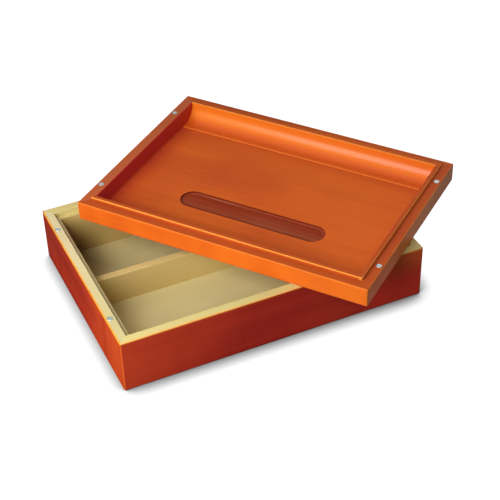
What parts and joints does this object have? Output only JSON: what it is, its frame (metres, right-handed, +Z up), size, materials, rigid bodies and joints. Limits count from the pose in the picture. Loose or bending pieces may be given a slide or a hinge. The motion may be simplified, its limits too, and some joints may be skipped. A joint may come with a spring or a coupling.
{
  "type": "wooden box with tray lid",
  "caption": "Shallow mitred wooden box with a divided inside and a loose tray lid that has a raised lip, a cove along the back and a round-ended pocket; it stores small things.",
  "frame": {"origin": "centre of the base's underside, on the surface it stands on", "axes": "+X along the base's length, +Y to its back, +Z up"},
  "size_m": [0.2798, 0.2696, 0.0566],
  "materials": {
    "stained_wood": "satin lacquer over red-orange stain",
    "wall_wood": "satin lacquer over red stain outside, raw pale wood inside",
    "raw_wood": "raw, sanded",
    "magnet": "bright nickel plate"
  },
  "bodies": {
    "base": {"base_front_wall": "wall_wood", "base_back_wall": "wall_wood", "base_left_wall": "wall_wood", "base_right_wall": "wall_wood", "base_bottom_panel": "raw_wood", "base_divider": "raw_wood", "base_magnet_front_left": "magnet", "base_magnet_back_left": "magnet", "base_magnet_front_right": "magnet", "base_magnet_back_right": "magnet"},
    "lid": {"lid_front_rail": "stained_wood", "lid_back_rail": "stained_wood", "lid_left_rail": "stained_wood", "lid_right_rail": "stained_wood", "lid_panel": "stained_wood", "lid_cove": "stained_wood", "lid_magnet_front_left": "magnet", "lid_magnet_back_left": "magnet", "lid_magnet_front_right": "magnet", "lid_magnet_back_right": "magnet"}
  },
  "joints": [
    {"name": "lid_lift", "type": "slide", "parent": "base", "child": "lid", "axis": [0, 0, 1], "range_m": [0, 0.12]}
  ]
}
